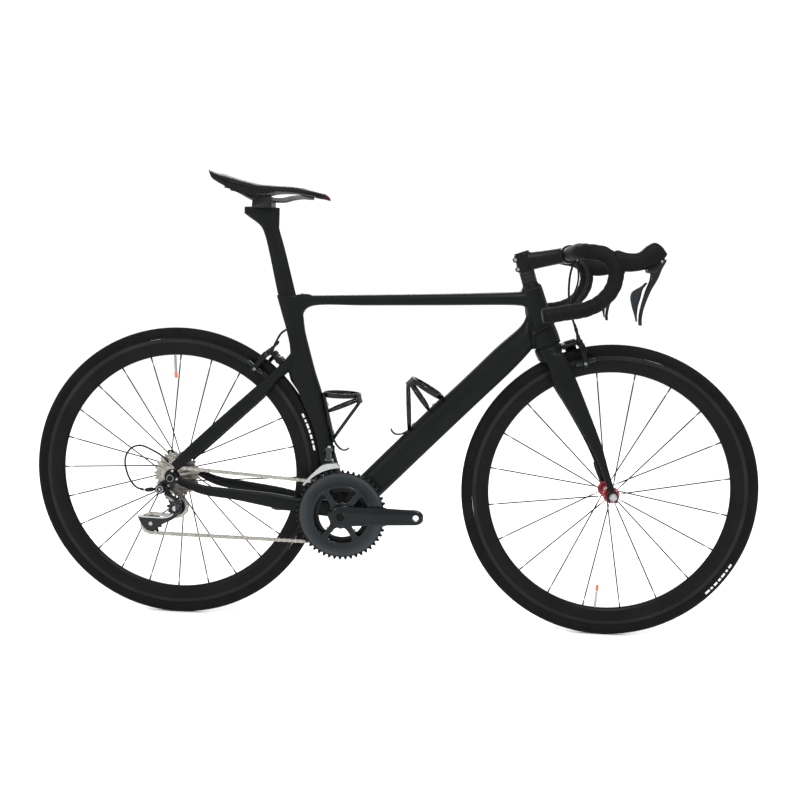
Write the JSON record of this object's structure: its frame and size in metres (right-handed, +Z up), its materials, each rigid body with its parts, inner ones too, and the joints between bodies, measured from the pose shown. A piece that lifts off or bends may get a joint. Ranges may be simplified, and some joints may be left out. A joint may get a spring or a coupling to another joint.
{
  "type": "road bicycle",
  "caption": "Road bicycle with drop bar, deep-rim wheels, rim brakes, double chainset, derailleur gears, saddle and two bottle cages; wheels, steering, cranks, brakes and gears move.",
  "frame": {"origin": "on the ground, midway between the two wheel axles, in the plane of the wheels", "axes": "+X forwards (towards the front wheel), +Y to the rider's left, +Z up; the wheels stand on Z = 0"},
  "size_m": [1.664, 0.4416, 1.0265],
  "materials": {
    "carbon_frame": "matte black over carbon fibre",
    "polished_steel": "polished",
    "satin_black": "satin black anodised",
    "bar_tape": "soft wrapped tape",
    "hood_rubber": "matte moulded rubber",
    "lever_black": "gloss black",
    "grey_component": "polished grey anodised",
    "tyre": "matte rubber",
    "inner_tube": "smooth butyl, metal valve stem",
    "carbon_rim": "matte carbon with a ground brake track",
    "spokes_and_hub": "black bladed spokes, red anodised front hub",
    "brake_black": "satin black",
    "ring_black": "black anodised",
    "nickel_steel": "nickel plated",
    "pulley_plastic": "moulded",
    "saddle_cover": "matte synthetic cover over foam",
    "saddle_shell": "moulded",
    "cage_black": "gloss moulded composite",
    "cable_housing": "smooth plastic sheath"
  },
  "bodies": {
    "frame": {"frame": "carbon_frame", "headset_lower_bearing": "polished_steel", "bottom_bracket": "satin_black", "seatpost": "carbon_frame", "saddle_rails": "polished_steel", "saddle_shell": "saddle_shell", "saddle_cover": "saddle_cover", "bottle_cage_seat_tube": "cage_black", "bottle_cage_down_tube": "cage_black", "front_derailleur_mount": "grey_component", "chain": "nickel_steel", "rear_brake_bolt": "polished_steel", "rear_derailleur_mount": "grey_component", "rear_axle": "polished_steel", "derailleur_cable": "cable_housing", "rear_brake_cable": "cable_housing", "rear_brake_housing": "cable_housing", "gear_housing": "cable_housing"},
    "steering": {"fork": "carbon_frame", "headset_spacers": "satin_black", "stem": "satin_black", "handlebar": "satin_black", "bar_tape_left": "bar_tape", "bar_tape_right": "bar_tape", "hood_left": "hood_rubber", "hood_right": "hood_rubber", "front_brake_bolt": "polished_steel", "front_axle": "polished_steel", "front_brake_cable": "cable_housing"},
    "front_wheel": {"front_tyre": "tyre", "front_inner_tube": "inner_tube", "front_rim": "carbon_rim", "front_hub_with_spokes": "spokes_and_hub"},
    "rear_wheel": {"rear_tyre": "tyre", "rear_inner_tube": "inner_tube", "rear_rim": "carbon_rim", "rear_hub_with_spokes": "spokes_and_hub"},
    "crankset": {"crank_arm_right": "grey_component", "crank_arm_left": "grey_component", "chainring_large": "ring_black", "chainring_small": "ring_black"},
    "cassette": {"cassette": "nickel_steel"},
    "brake_lever_left": {"brake_lever_left": "lever_black"},
    "brake_lever_right": {"brake_lever_right": "lever_black"},
    "shift_paddle_left": {"shift_paddle_left": "grey_component"},
    "shift_paddle_right": {"shift_paddle_right": "grey_component"},
    "front_brake_arm_left": {"front_brake_arm_left": "brake_black"},
    "front_brake_arm_right": {"front_brake_arm_right": "brake_black"},
    "rear_brake_arm_left": {"rear_brake_arm_left": "brake_black"},
    "rear_brake_arm_right": {"rear_brake_arm_right": "brake_black"},
    "front_skewer_lever": {"front_skewer_lever": "lever_black"},
    "rear_skewer_lever": {"rear_skewer_lever": "lever_black"},
    "rear_derailleur_outer_link": {"rear_derailleur_outer_link": "grey_component"},
    "rear_derailleur_inner_link": {"rear_derailleur_inner_link": "grey_component"},
    "rear_derailleur_knuckle": {"rear_derailleur_knuckle": "grey_component"},
    "rear_derailleur_cage": {"rear_derailleur_cage": "nickel_steel"},
    "guide_pulley": {"guide_pulley": "pulley_plastic"},
    "tension_pulley": {"tension_pulley": "pulley_plastic"},
    "front_derailleur_link": {"front_derailleur_link": "grey_component"},
    "front_derailleur_cage": {"front_derailleur_cage": "nickel_steel"}
  },
  "joints": [
    {"name": "steering_turn", "type": "hinge", "parent": "frame", "child": "steering", "pos_m": [0.3391, 0, 0.663], "axis": [-0.3173, 0, 0.9483], "range_deg": [-60, 60], "deforming": ["rear_brake_housing", "gear_housing"]},
    {"name": "front_wheel_spin", "type": "hinge", "parent": "steering", "child": "front_wheel", "pos_m": [0.496, 0, 0.336], "axis": [0, 1, 0], "continuous": true},
    {"name": "rear_wheel_spin", "type": "hinge", "parent": "frame", "child": "rear_wheel", "pos_m": [-0.496, 0, 0.336], "axis": [0, 1, 0], "continuous": true},
    {"name": "crank_spin", "type": "hinge", "parent": "frame", "child": "crankset", "pos_m": [-0.11, 0, 0.263], "axis": [0, 1, 0], "continuous": true},
    {"name": "cassette_spin", "type": "hinge", "parent": "frame", "child": "cassette", "pos_m": [-0.496, 0, 0.336], "axis": [0, 1, 0], "continuous": true},
    {"name": "brake_lever_left_pull", "type": "hinge", "parent": "steering", "child": "brake_lever_left", "pos_m": [0.534, 0.2, 0.85], "axis": [0, 1, 0], "range_deg": [0, 18], "stiffness_Nm_per_rad": 0.5, "springref_deg": -20.05},
    {"name": "brake_lever_right_pull", "type": "hinge", "parent": "steering", "child": "brake_lever_right", "pos_m": [0.534, -0.2, 0.85], "axis": [0, 1, 0], "range_deg": [0, 18], "stiffness_Nm_per_rad": 0.5, "springref_deg": -20.05},
    {"name": "shift_paddle_left_sweep", "type": "hinge", "parent": "brake_lever_left", "child": "shift_paddle_left", "pos_m": [0.516, 0.195, 0.812], "axis": [-0.9684, 0, 0.2496], "range_deg": [0, 15], "stiffness_Nm_per_rad": 0.2, "springref_deg": -17.19},
    {"name": "shift_paddle_right_sweep", "type": "hinge", "parent": "brake_lever_right", "child": "shift_paddle_right", "pos_m": [0.516, -0.195, 0.812], "axis": [0.9684, 0, -0.2496], "range_deg": [0, 15], "stiffness_Nm_per_rad": 0.2, "springref_deg": -17.19},
    {"name": "front_brake_arm_left_close", "type": "hinge", "parent": "steering", "child": "front_brake_arm_left", "pos_m": [0.40012, 0.014, 0.67287], "axis": [-0.9483, 0, -0.3173], "range_deg": [0, 2]},
    {"name": "front_brake_arm_right_close", "type": "hinge", "parent": "steering", "child": "front_brake_arm_right", "pos_m": [0.40752, 0, 0.67219], "axis": [0.9483, 0, 0.3173], "range_deg": [0, 2]},
    {"name": "rear_brake_arm_left_close", "type": "hinge", "parent": "frame", "child": "rear_brake_arm_left", "pos_m": [-0.28254, 0.014, 0.6201], "axis": [-0.7716, 0, 0.6361], "range_deg": [0, 2]},
    {"name": "rear_brake_arm_right_close", "type": "hinge", "parent": "frame", "child": "rear_brake_arm_right", "pos_m": [-0.28969, 0, 0.62211], "axis": [0.7716, 0, -0.6361], "range_deg": [0, 2]},
    {"name": "front_skewer_open", "type": "hinge", "parent": "steering", "child": "front_skewer_lever", "pos_m": [0.496, 0.0692, 0.336], "axis": [-0.9397, 0, -0.342], "range_deg": [0, 165]},
    {"name": "rear_skewer_open", "type": "hinge", "parent": "frame", "child": "rear_skewer_lever", "pos_m": [-0.496, 0.0842, 0.336], "axis": [-0.5, 0, -0.866], "range_deg": [0, 165]},
    {"name": "rear_derailleur_shift", "type": "hinge", "parent": "frame", "child": "rear_derailleur_outer_link", "pos_m": [-0.502, -0.0845, 0.3], "axis": [0.524, 0.5536, 0.6473], "range_deg": [0, 58], "stiffness_Nm_per_rad": 1.5, "springref_deg": -34.38, "deforming": ["chain"]},
    {"name": "rear_derailleur_inner_swing", "type": "hinge", "parent": "frame", "child": "rear_derailleur_inner_link", "pos_m": [-0.502, -0.07538, 0.2922], "axis": [0.524, 0.5536, 0.6473], "range_deg": [0, 58]},
    {"name": "rear_derailleur_knuckle_swing", "type": "hinge", "parent": "rear_derailleur_outer_link", "child": "rear_derailleur_knuckle", "pos_m": [-0.47013, -0.10226, 0.28939], "axis": [0.524, 0.5536, 0.6473], "range_deg": [-58, 0]},
    {"name": "rear_derailleur_cage_swing", "type": "hinge", "parent": "rear_derailleur_knuckle", "child": "rear_derailleur_cage", "pos_m": [-0.484, -0.06, 0.267], "axis": [0, 1, 0], "range_deg": [-80, 0], "stiffness_Nm_per_rad": 0.6, "springref_deg": 40.11},
    {"name": "guide_pulley_spin", "type": "hinge", "parent": "rear_derailleur_cage", "child": "guide_pulley", "pos_m": [-0.484, -0.06, 0.267], "axis": [0, 1, 0], "continuous": true},
    {"name": "tension_pulley_spin", "type": "hinge", "parent": "rear_derailleur_cage", "child": "tension_pulley", "pos_m": [-0.544, -0.06, 0.226], "axis": [0, 1, 0], "continuous": true},
    {"name": "front_derailleur_shift", "type": "hinge", "parent": "frame", "child": "front_derailleur_link", "pos_m": [-0.144, -0.029, 0.409], "axis": [-1, 0, 0], "range_deg": [0, 18], "stiffness_Nm_per_rad": 1, "springref_deg": -28.65},
    {"name": "front_derailleur_cage_swing", "type": "hinge", "parent": "front_derailleur_link", "child": "front_derailleur_cage", "pos_m": [-0.144, -0.041, 0.3875], "axis": [-1, 0, 0], "range_deg": [-18, 0]}
  ],
  "couplings": [
    {"joint": "cassette_spin", "follows": "crank_spin", "ratio": 3.0909},
    {"joint": "guide_pulley_spin", "follows": "crank_spin", "ratio": -3.0909},
    {"joint": "tension_pulley_spin", "follows": "crank_spin", "ratio": 3.0909},
    {"joint": "front_brake_arm_left_close", "follows": "brake_lever_left_pull", "ratio": 0.088889},
    {"joint": "front_brake_arm_right_close", "follows": "brake_lever_left_pull", "ratio": 0.088889},
    {"joint": "rear_brake_arm_left_close", "follows": "brake_lever_right_pull", "ratio": 0.088889},
    {"joint": "rear_brake_arm_right_close", "follows": "brake_lever_right_pull", "ratio": 0.088889},
    {"joint": "rear_derailleur_inner_swing", "follows": "rear_derailleur_shift", "ratio": 1},
    {"joint": "rear_derailleur_knuckle_swing", "follows": "rear_derailleur_shift", "ratio": -1},
    {"joint": "front_derailleur_cage_swing", "follows": "front_derailleur_shift", "ratio": -1}
  ]
}
